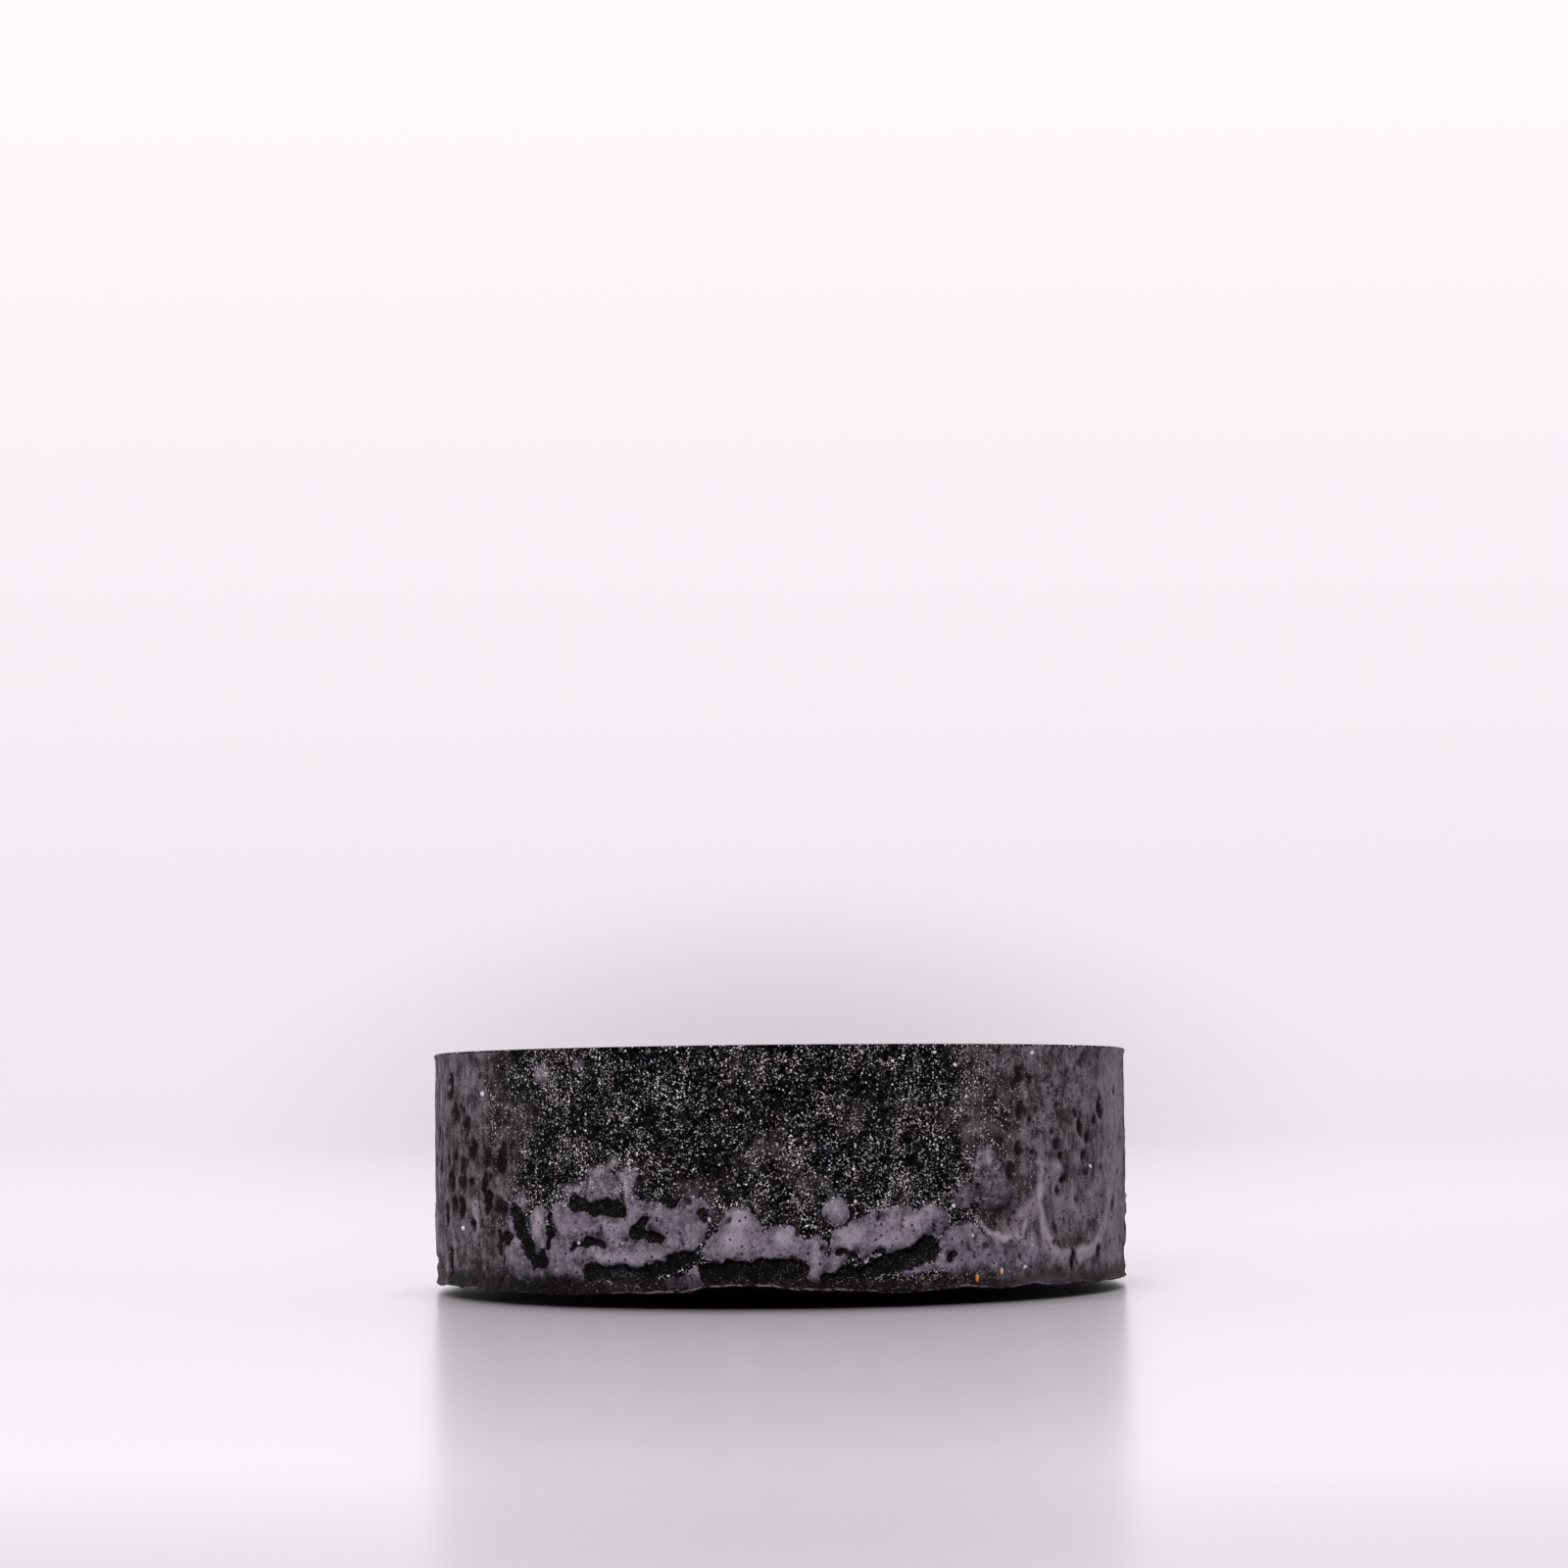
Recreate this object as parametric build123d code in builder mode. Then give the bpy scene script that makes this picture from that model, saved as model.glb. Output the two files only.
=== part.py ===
"""Ice hockey puck: one cast disc of black rubber compound, with mineral grit held in its wall.

The puck was cast with its flat face on the mould floor and then turned over. Its top is that flat mould face.
Its underside is the pour face: a low crown with a small flat foot, so that the lower rim stands clear of the ground.
The mould's joint left a ragged lip of flash along the lower rim, and trapped air left hollows and bubbles in the wall.
Millimetres, +Z up, origin at the middle of the foot. Bearings are degrees from the front (-Y), positive towards +X.
"""

import math
import os

from build123d import *

# Overall sizes
puck_diameter = 76.2
puck_thickness = 25.4

# Pour face (underside) and mould face (top)
crown_height = 0.7  # the foot stands this far below the lower rim
foot_radius = 10.0
top_edge_radius = 0.3

# Wall: straight above, drawn in a little towards the lower rim
draw_in = 0.35
draw_in_height = 11.0  # where the straight wall starts, above the lower rim

# Flash lip along the lower rim
lip_width = 0.3
lip_root = 0.25  # how far the lip runs up the wall
lip_lengths = [  # bearing where it starts, degrees that it spans, how far it hangs below the rim
    (-104, 31, 0.26),
    (-64, 16, 0.22),
    (-46, 31, 0.34),
    (-13, 20, 0.18),
    (9, 24, 0.30),
    (35, 27, 0.36),
    (66, 34, 0.20),
    (106, 41, 0.32),
    (152, 25, 0.24),
    (181, 38, 0.35),
    (223, 29, 0.28),
]

# Air hollows at the front: bearing, height above the lower rim, radius of the mouth, depth
front_hollows = [
    (-69, 3.0, 1.9, 0.40),
    (-54, 9.0, 1.6, 0.35),
    (-45, 6.0, 1.5, 0.40),
    (-41, 3.4, 1.3, 0.45),
    (-28, 2.2, 1.4, 0.40),
    (-28, 8.6, 1.8, 0.35),
    (-21, 5.6, 1.4, 0.45),
    (-17, 9.1, 1.1, 0.30),
    (-15, 3.3, 1.1, 0.35),
    (-6, 2.2, 1.2, 0.40),
    (-2, 2.3, 1.2, 0.40),
    (2, 2.5, 1.2, 0.40),
    (14, 2.4, 1.2, 0.40),
    (18, 2.9, 1.4, 0.45),
    (22, 3.6, 1.4, 0.45),
    (36, 7.5, 2.8, 0.35),
    (55, 7.2, 4.4, 0.40),
    (58, 15.0, 1.0, 0.35),
    (-67, 17.5, 1.1, 0.30),
]

# Air hollows round the rest of the wall, spread by the golden ratio
golden_ratio = (math.sqrt(5) - 1) / 2
rear_hollow_count = 28
rear_hollows_from, rear_hollows_to = 76.0, 284.0  # bearings
rear_hollow_lowest, rear_hollow_highest = 2.4, 10.0
rear_hollow_mouths = (1.0, 1.5, 1.2, 2.3)
rear_hollow_depth = 0.38

# Small round bubbles all round the wall
bubble_count = 64
bubble_radii = (0.35, 0.50, 0.40, 0.65)
bubble_lowest = 3.0  # above the lower rim
bubble_top_margin = 3.5  # below the top face
bubble_sink = 0.8  # share of its radius that a bubble reaches into the wall

# Mineral grit in the wall
grit_depth = 0.4  # how far a grain reaches into the wall
grit_proud = 0.08  # how far it stands out of the wall
grit_taper = 10.0  # degrees that its sides lean in towards its outer face
pale_grit_radii = (0.36, 0.28, 0.42, 0.31)
pale_grit_sides = 5
pale_grit_turn = 47.0  # degrees that each grain is turned from the one before
pale_grit_low = [  # bearing, height above the lower rim
    (-62.5, 6.1),
    (-33, 4.9),
    (-25, 4.9),
    (-11, 7.2),
    (11.5, 8.9),
    (27.5, 8.3),
    (31, 4.0),
    (43, 4.1),
    (59, 12.0),
    (41.5, 1.9),
]
pale_grit_high = [  # bearing, depth below the top face
    (43.5, 0.9),
    (24.5, 0.9),
    (28, 2.1),
    (30, 5.4),
    (-55, 4.5),
]
rear_grit_count = 14
rear_grit_from, rear_grit_to = 80.0, 280.0  # bearings
rear_grit_lowest, rear_grit_highest = 2.0, 18.5
amber_grit_width = 0.34
amber_grit_height = 0.55
amber_grit_lean = 80.0  # degrees between a grain's foot and its sides
amber_grit_places = [  # bearing, height above the lower rim
    (31.9, 1.0),
    (36.6, 1.6),
]

rim_height = crown_height
wall_height = puck_thickness - crown_height
wall_radius = puck_diameter / 2
rim_radius = wall_radius - draw_in


def radius_at(height):
    """Radius of the plain wall at a height above the lower rim."""
    return wall_radius - draw_in * max(0.0, 1 - height / draw_in_height)


def on_wall(bearing, height, radius):
    """A point at a bearing, a height above the lower rim and a distance from the axis."""
    turn = math.radians(bearing)
    return (radius * math.sin(turn), -radius * math.cos(turn), rim_height + height)


def spread(count, low, high, first=0.5):
    """Heights or bearings that the golden ratio spreads between two limits without repeating."""
    return [low + (high - low) * ((first + k * golden_ratio) % 1) for k in range(count)]


def evenly(count, low, high):
    """Bearings that share an arc evenly."""
    return [low + (high - low) * (k + 0.5) / count for k in range(count)]


# Where the hollows, bubbles and grains go
rear_hollows = [
    (bearing, height, rear_hollow_mouths[k % len(rear_hollow_mouths)], rear_hollow_depth)
    for k, (bearing, height) in enumerate(
        zip(
            evenly(rear_hollow_count, rear_hollows_from, rear_hollows_to),
            spread(rear_hollow_count, rear_hollow_lowest, rear_hollow_highest),
        )
    )
]
hollows = front_hollows + rear_hollows
bubble_heights = spread(bubble_count, bubble_lowest, wall_height - bubble_top_margin, 0.2)
bubbles = [
    (bearing, height, bubble_radii[k % len(bubble_radii)])
    for k, (bearing, height) in enumerate(zip(evenly(bubble_count, -180.0, 180.0), bubble_heights))
]
pale_grit_places = (
    pale_grit_low
    + [(bearing, wall_height - depth) for bearing, depth in pale_grit_high]
    + list(
        zip(
            evenly(rear_grit_count, rear_grit_from, rear_grit_to),
            spread(rear_grit_count, rear_grit_lowest, rear_grit_highest, 0.3),
        )
    )
)


def arc_between(bearing, other):
    """Length along the wall between two bearings."""
    return wall_radius * math.radians((bearing - other + 180) % 360 - 180)


def seat(places, reach, taken):
    """Where grains that reach this far sit: each at its own place, or higher up until nothing else is there."""
    seats = []
    for bearing, height in places:
        others = taken + [(*place, reach) for place in seats]
        while any(
            math.hypot(arc_between(bearing, other), height - other_height) < other_reach + reach
            for other, other_height, other_reach in others
        ):
            height += reach
        seats.append((bearing, height))
    return seats


def grain_plane(bearing, height):
    """The plane of a grain's inner face: its Z points out of the wall, and its Y points up."""
    turn = math.radians(bearing)
    return Plane(
        origin=on_wall(bearing, height, radius_at(height) - grit_depth),
        x_dir=(math.cos(turn), math.sin(turn), 0),
        z_dir=(math.sin(turn), -math.cos(turn), 0),
    )


air = [hollow[:3] for hollow in hollows] + bubbles
amber_seats = seat(amber_grit_places, amber_grit_height, air)
amber_taken = [(*place, amber_grit_height) for place in amber_seats]
pale_seats = seat(pale_grit_places, max(pale_grit_radii), air + amber_taken)

# Pale grit: quartz-like grains, each a separate five-sided chip
with BuildPart() as pale_grit:
    for k, (bearing, height) in enumerate(pale_seats):
        with BuildSketch(grain_plane(bearing, height)):
            RegularPolygon(
                pale_grit_radii[k % len(pale_grit_radii)],
                pale_grit_sides,
                rotation=pale_grit_turn * k,
            )
        extrude(amount=grit_depth + grit_proud, taper=grit_taper)

# Amber grit: taller chips near the lower rim
with BuildPart() as amber_grit:
    for bearing, height in amber_seats:
        with BuildSketch(grain_plane(bearing, height)):
            Trapezoid(amber_grit_width, amber_grit_height, amber_grit_lean)
        extrude(amount=grit_depth + grit_proud, taper=grit_taper)

# The puck itself
with BuildPart() as puck_body:
    with BuildSketch(Plane.XZ):
        with BuildLine():
            foot = Line((0, 0), (foot_radius, 0))
            crown = TangentArc(foot @ 1, (rim_radius, rim_height), tangent=(1, 0))
            lower_wall = Line(crown @ 1, (wall_radius, rim_height + draw_in_height))
            upper_wall = Line(lower_wall @ 1, (wall_radius, puck_thickness))
            top_face = Line(upper_wall @ 1, (0, puck_thickness))
            Line(top_face @ 1, foot @ 0)
        make_face()
    revolve(axis=Axis.Z)
    fillet(puck_body.edges().group_by(Axis.Z)[-1], top_edge_radius)

    # Flash lip, one arc after another, each hanging to its own depth
    for bearing, span, drop in lip_lengths:
        turn = math.radians(bearing)
        across = Plane(
            origin=(0, 0, 0),
            x_dir=(math.sin(turn), -math.cos(turn), 0),
            z_dir=(-math.cos(turn), -math.sin(turn), 0),
        )
        with BuildSketch(across):
            with BuildLine():
                outer = rim_radius + lip_width / 3
                inner = outer - lip_width
                Polyline(
                    (inner, rim_height + lip_root),
                    (outer - lip_width / 3, rim_height + lip_root),
                    (outer, rim_height),
                    (outer - lip_width / 3, rim_height - drop),
                    (inner, rim_height - drop),
                    close=True,
                )
            make_face()
        revolve(axis=Axis.Z, revolution_arc=span)

    # Hollows: the cap of a large sphere, as wide as the mouth and as deep as stated
    for bearing, height, mouth, depth in hollows:
        ball_radius = (mouth**2 + depth**2) / (2 * depth)
        with Locations(on_wall(bearing, height, radius_at(height) + ball_radius - depth)):
            Sphere(ball_radius, mode=Mode.SUBTRACT)

    # Bubbles: balls that open at the wall
    for bearing, height, radius in bubbles:
        with Locations(on_wall(bearing, height, radius_at(height) + radius * (1 - bubble_sink))):
            Sphere(radius, mode=Mode.SUBTRACT)

    # Each grain's own seat
    add(pale_grit.part, mode=Mode.SUBTRACT)
    add(amber_grit.part, mode=Mode.SUBTRACT)

os.makedirs("parts", exist_ok=True)
for name, piece in {
    "puck_body": puck_body,
    "pale_grit": pale_grit,
    "amber_grit": amber_grit,
}.items():
    piece.part.label = name
    export_step(piece.part, f"parts/{name}.step")
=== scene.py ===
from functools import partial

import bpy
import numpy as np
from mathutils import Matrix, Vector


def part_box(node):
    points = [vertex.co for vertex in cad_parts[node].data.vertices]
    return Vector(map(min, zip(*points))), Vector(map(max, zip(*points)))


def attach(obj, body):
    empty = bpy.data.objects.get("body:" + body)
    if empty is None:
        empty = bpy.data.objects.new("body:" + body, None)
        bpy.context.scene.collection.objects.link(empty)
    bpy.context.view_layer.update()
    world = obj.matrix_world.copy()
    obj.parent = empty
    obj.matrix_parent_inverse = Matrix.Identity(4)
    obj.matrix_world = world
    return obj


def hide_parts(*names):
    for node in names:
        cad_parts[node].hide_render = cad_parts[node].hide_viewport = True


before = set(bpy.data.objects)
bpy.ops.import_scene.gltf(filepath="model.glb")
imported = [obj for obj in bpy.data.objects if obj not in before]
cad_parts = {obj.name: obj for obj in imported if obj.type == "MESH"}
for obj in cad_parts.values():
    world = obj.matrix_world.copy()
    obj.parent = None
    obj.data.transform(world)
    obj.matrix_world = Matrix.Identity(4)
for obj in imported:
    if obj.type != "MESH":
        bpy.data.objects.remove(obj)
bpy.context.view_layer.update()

# %% [markdown]
# # An ice hockey puck, cast in black rubber compound
#
# The object is one solid disc, 76.2 mm across and 25.4 mm thick. Nothing is fitted to it, so all of its
# character is in its surface: a speckled wall, smooth grey skins near the lower rim, black air hollows, round
# bubbles, a few grains of mineral grit and a ragged lip of flash.
#
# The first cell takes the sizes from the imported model, so that everything below is on the same frame. Lengths
# are in millimetres, and turned to metres at the end.

MM = 0.001  # one millimetre in metres
body_low, body_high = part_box("puck_body")
RADIUS = round(body_high.x / MM, 2)
THICKNESS = round(body_high.z / MM, 2)
ROUND = 2 * np.pi * RADIUS  # the way round the wall
FOOT = 10.0  # radius of the flat foot under the puck
RIM = 0.7  # height of the lower rim above the foot
WALL = THICKNESS - RIM  # height of the wall above the lower rim
DRAW_IN = 0.35  # how much smaller the radius is at the lower rim
DRAW_IN_HEIGHT = 11.0  # where the straight wall starts, above the lower rim
EDGE = 0.3  # radius of the top edge
print(f"puck: radius {RADIUS} mm, thickness {THICKNESS} mm, {ROUND:.1f} mm round")

# %% [markdown]
# ## The camera and the table
#
# The underside is crowned, so the puck can lean a little. The model keeps the puck's own axes upright, and
# the table is tilted under it instead: it touches the crown at one place behind the foot, and leaves a dark
# gap in front. The camera stands low, about 26 mm above the table and 0.4 m away, with a long lens that looks
# slightly up.

# %% Camera
TABLE_UPHILL = np.array([0.078, 0.997])  # the direction, seen from above, in which the table rises
TABLE_SLOPE = 0.0213
# how far behind the middle the crown is as steep as the table
TOUCH = FOOT + TABLE_SLOPE * (RADIUS - DRAW_IN - FOOT) ** 2 / (2 * RIM)
WAVES = 0.05  # height of the small waves in the crown; the table touches their tops
CAMERA_AWAY = 407.0
CAMERA_HEIGHT = 17.2
CAMERA_LENS = 84.13  # mm, on a sensor 36 mm wide
LOOK = Vector((0.0020, 1.0, 0.0934))  # slightly up, and a hair to the right
CAMERA_UP = Vector((0.0098, 0.0, 1.0))


def table_height(x, y):
    """Height of the table at a point: level with the crown where it touches, and rising with the slope."""
    uphill = x * TABLE_UPHILL[0] + y * TABLE_UPHILL[1]
    return TABLE_SLOPE * (uphill - (TOUCH + FOOT) / 2) - WAVES


scene = bpy.context.scene
lens = bpy.data.cameras.new("camera")
lens.lens = CAMERA_LENS
lens.sensor_width = 36.0
lens.clip_start = 0.01
camera = bpy.data.objects.new("camera", lens)
scene.collection.objects.link(camera)
ahead = LOOK.normalized()
right = ahead.cross(CAMERA_UP).normalized()
upward = right.cross(ahead)
turned = Matrix((right, upward, -ahead)).transposed().to_4x4()
camera.matrix_world = Matrix.Translation(Vector((0, -CAMERA_AWAY, CAMERA_HEIGHT)) * MM) @ turned
scene.camera = camera
scene.view_settings.view_transform = "Standard"
gap = RIM - table_height(0, DRAW_IN - RADIUS)
print(f"the front of the rim stands {gap:.2f} mm above the table")

# %% [markdown]
# ## Ways to describe marks on the wall
#
# Unrolled, the wall is a strip 239 mm long and 24.7 mm high. A mark is placed on it by `s`, the way along the
# wall from the front (positive to the right), and `h`, the height above the lower rim. Most marks are drops
# and runs, so they are capsules: all points within a radius of a short line. The signed distance to a
# capsule's outline is positive inside, and neighbours melt together. Sculpting would give the same look, but
# a list can be read, moved and repeated.

# %% Distances, noise and soft steps
MELT = 0.6  # how near two fields have to be to melt together
FAR = -9.0  # a field's value far outside every mark
LATTICE_ROWS = 400  # rows of a noise lattice, more than the wall ever needs


def along(s, place):
    """Way from a place to each point along the wall, the short way round."""
    return (s - place + ROUND / 2) % ROUND - ROUND / 2


def capsule(s, h, s0, h0, s1, h1, radius):
    """Radius minus the distance to the line from (s0, h0) to (s1, h1): positive inside the capsule."""
    ds, dh = along(s, s0), h - h0
    run_s, run_h = s1 - s0, h1 - h0
    share = np.clip((ds * run_s + dh * run_h) / (run_s**2 + run_h**2 + 1e-9), 0, 1)
    return radius - np.hypot(ds - share * run_s, dh - share * run_h)


def melt(a, b):
    """The larger of two fields, with the valley between them filled by a parabola as wide as MELT."""
    near = np.maximum(MELT - np.abs(a - b), 0) / MELT
    return np.maximum(a, b) + near**2 * MELT / 4


def capsules(s, h, shapes):
    """All shapes melted into one field."""
    field = np.full(np.shape(s), FAR)
    for shape in shapes:
        field = melt(field, capsule(s, h, *shape))
    return field


def soft(x, start, end):
    """0 before start, 1 after end, and a smooth cubic step between them."""
    t = np.clip((x - start) / (end - start), 0, 1)
    return t * t * (3 - 2 * t)


def ripple(s, h, step, seed):
    """Smooth noise from -1 to 1: random heights on a lattice that closes round the wall, blended between."""
    across = max(4, round(ROUND / step))
    lattice = np.random.default_rng(seed).uniform(-1, 1, (across, LATTICE_ROWS))
    u, v = s / ROUND * across + across, h / step + LATTICE_ROWS // 2
    i, j = np.floor(u).astype(int), np.floor(v).astype(int)
    fu, fv = soft(u - i, 0, 1), soft(v - j, 0, 1)
    left, right = i % across, (i + 1) % across
    low, high = j % LATTICE_ROWS, (j + 1) % LATTICE_ROWS
    below = lattice[left, low] * (1 - fu) + lattice[right, low] * fu
    above = lattice[left, high] * (1 - fu) + lattice[right, high] * fu
    return below * (1 - fv) + above * fv


# %% [markdown]
# ## The skins
#
# Where the compound lay against the mould without air between them, it took a smooth, grey, satin skin. The
# skins near the lower rim are round lobes that ran together. Each entry below is one run of a lobe: its two
# ends and its radius.

# %% Skins at the front
FRONT_SKINS = [
    # left of the middle: a long patch with a rising arm
    (-23, 6.2, -17, 6, 1.7), (-17.5, 6.6, -13, 6.6, 2.4), (-16.6, 8.5, -16.2, 10.4, 1.7),
    (-20.6, 9.4, -19, 11, 1.75), (-12.6, 6.3, -10, 6.4, 2.3), (-9.3, 7.3, -9, 7.7, 1.7),
    (-24.5, 4, -16, 3.6, 1.25), (-15, 4.1, -12.5, 4.4, 1.2), (-31, 3.4, -25, 3.3, 1.9),
    (-30.6, 2.1, -21.8, 2, 1.05), (-31.6, 6, -31, 8, 1), (-27.6, 6.2, -27.2, 7.6, 1.1),
    (-24.6, 7.6, -22.6, 7.4, 0.9),
    # two round lobes in the middle
    (-4.2, 5.4, -4, 6.2, 2.15), (-6.4, 4.3, -2, 4.4, 1.45), (0.1, 4.9, 0.3, 5, 1.85), (-1, 4.4, 2, 4.4, 1.05),
    # a small tongue on the rim under the left patch, and a drop
    (-9, 1.2, -8.6, 1.7, 0.95), (-11.8, 0.9, -9.4, 1.1, 0.45), (-18.3, 1.2, -17.7, 1.25, 0.28),
    # right of the middle: a neck, then a broad patch with a round end
    (3.7, 2, 3.6, 4.8, 0.85), (3, 1.6, 4, 1.4, 0.35), (4.2, 2.7, 6, 3, 0.7), (6.6, 5, 9.6, 5.4, 1.75),
    (9.6, 5.6, 12.8, 6.2, 2.2), (13.6, 6.8, 15.2, 6.9, 1.6), (16.2, 6.9, 16.5, 6.9, 1.35),
    (14.6, 4.9, 16, 6, 0.8),
    # the tongue under the large hollow, and the lobe to its right
    (13, 1.75, 16.4, 2.3, 0.42), (18.6, 3.6, 20, 4, 2.35), (21, 3.4, 23.6, 3, 1.75),
    (24.6, 3.3, 28.4, 3.5, 1.35), (19.7, 9.4, 19.9, 9.6, 1.35), (22.5, 12.1, 23.6, 9.6, 1.9),
]
SATIN_AND_SHEEN = [(45.5, 20.5), (-50.5, 15.5), (104.0, 9.0)]  # wide smooth zones, grey partly from a painted reflection at the two ends of the front: middle and half width along the wall
BLISTER = (5.6, 7.9, 1.45)  # a round cap that stands on the skin: s, h and radius
print(len(FRONT_SKINS), "skin runs at the front")

# %% [markdown]
# ## Hollows, basins, bubbles and rings
#
# Air that could not escape kept the compound off the mould. It left black hollows with sharp upper edges
# under the skins, shallow basins, and round bubbles that opened at the wall. Some bubbles only left a faint
# ring.

# %% Air marks at the front
FRONT_HOLLOWS = [  # two ends, radius, depth
    (-21, 1.9, -14, 1.75, 0.85, 0.75), (-14, 1.8, -10.8, 3.2, 0.7, 0.75), (-11.6, 3.5, -8.6, 3.6, 0.62, 0.7),
    (-22.6, 4.8, -19, 4.8, 0.56, 0.5), (-15.3, 5.9, -12.8, 5.2, 0.62, 0.65),
    (-14.5, 6.8, -14.4, 6.9, 0.52, 0.55), (-22.6, 9.5, -20.6, 8.7, 0.75, 0.4),
    (-20.2, 8.6, -16.9, 8.4, 0.9, 0.5), (-7.6, 1.9, -2.2, 2.05, 0.98, 0.8), (-2.2, 2.05, 2, 2.3, 1.02, 0.8),
    (4.9, 1.5, 9, 2, 0.62, 0.7), (9, 2, 13.2, 3.1, 1, 0.85), (13.2, 3.2, 15.6, 4, 1.15, 0.9),
    (5.9, 3.9, 7.4, 3.6, 0.38, 0.5), (9.4, 3.5, 10.6, 3.7, 0.35, 0.35), (18, 3.2, 18.1, 3.3, 0.5, 0.45),
    (-34, 4, -33.8, 5.6, 0.6, 0.5), (-32.4, 5.3, -32.2, 5.6, 0.7, 0.5), (-35.8, 8.2, -35.6, 9.6, 0.8, 0.5),
    (-30.9, 8, -30, 5.6, 0.95, 0.6), (-29.9, 5.5, -28.9, 4.2, 0.85, 0.6), (-26, 4.4, -25.8, 5.9, 0.45, 0.5),
    (-27.8, 3.2, -27.2, 3.2, 0.98, 0.65), (-33, 12.9, -32.8, 14.2, 0.9, 0.45),
    (-36.3, 10.2, -36.2, 11.8, 0.6, 0.5), (-45.7, 20.2, -45.5, 22, 0.5, 0.4),
    (-46, 2.3, -45.9, 3.2, 0.95, 0.6), (-47, 6.9, -46.9, 8.1, 0.75, 0.5),
    (-22.4, 8.6, -21.6, 8.6, 0.62, 0.35), (-8.2, 7.8, -7.8, 7.7, 0.6, 0.4), (-11.9, 9, -11.2, 9, 0.45, 0.35),
    (16.9, 5.6, 18, 6.3, 0.16, 0.35), (15.4, 7.3, 16.9, 5.7, 0.16, 0.35), (35.8, 1.2, 35.6, 3, 0.3, 0.3),
]
FRONT_BASINS = [  # middle, half width, half height, depth, height of its rim
    (36.4, 7.6, 6.1, 4.5, 0.42, 0.1), (24.6, 7.2, 3, 2.4, 0.28, 0.08), (26.2, 3, 1.4, 1.1, 0.18, 0.05),
    (-18.2, 10, 2.2, 2.1, 0.2, 0.1),
]
FRONT_PITS = [  # s, h, radius
    (-45, 21, 1.01), (-43.5, 18.3, 0.81), (-41.5, 18.7, 0.61), (-42.7, 17.8, 0.54), (-40.3, 17, 0.81),
    (-43.5, 13.6, 0.61), (-46, 13.2, 0.68), (-41.7, 12.9, 0.81), (-38.9, 14.2, 0.88), (-36, 13.7, 1.01),
    (-44.8, 11, 1.01), (-41.5, 11, 1.01), (-39, 11, 0.61), (-49, 12.5, 0.68), (-44, 8.7, 0.81),
    (-42, 8.2, 1.08), (-39, 6.2, 0.61), (-50.3, 16.3, 0.68), (-33.8, 8.6, 0.81), (-32.5, 8, 0.68),
    (-35.2, 5.6, 0.68), (-27.6, 18.1, 0.55), (-14.6, 11.1, 0.38), (-14.8, 10.1, 0.22), (-13, 8.7, 0.26),
    (-12.2, 7, 0.24), (-16.4, 5.3, 0.22), (-10.2, 5, 0.22), (5.4, 5.4, 0.26), (4.1, 4.4, 0.3),
    (10.2, 7.3, 0.48), (8, 7.8, 0.26), (4.7, 7.3, 0.22), (20.6, 5.2, 0.16), (22.5, 4.3, 0.2),
    (23.8, 3.3, 0.16), (25, 3.4, 0.22), (27, 3.4, 0.26), (25.5, 11.5, 0.65), (27, 21.8, 0.5),
    (27.1, 21.1, 0.55), (28.4, 21.2, 0.35), (27.2, 17.8, 0.8), (28.3, 17, 0.4), (26.8, 13.9, 0.55),
    (28.1, 9, 0.3), (31.2, 22.4, 0.3), (31.2, 21, 0.3), (31.7, 19.7, 0.3), (32.6, 18.5, 0.32),
    (36, 17.3, 0.4), (32, 15.6, 0.48), (32.6, 14.2, 0.6), (33.3, 13, 0.4), (37, 16, 0.65), (39, 15, 0.75),
    (38, 13.2, 0.45), (34.5, 10.6, 0.55), (33.5, 9.3, 0.4), (37.3, 8.7, 0.4), (42, 18.3, 0.85),
    (40.4, 16.7, 0.4), (46.5, 8, 0.8), (41.5, 2.9, 0.6),
]
RINGS = [  # bubbles that only left a ring: s, h, radius, height
    (-18.2, 10, 2.1, 0.16), (6.2, 20.3, 1.9, 0.07), (-2.4, 17.6, 1.5, 0.05), (9, 18, 1.2, 0.06),
    (-26.2, 21, 1.4, 0.05), (24.6, 7.4, 2.7, 0.1),
]

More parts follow.
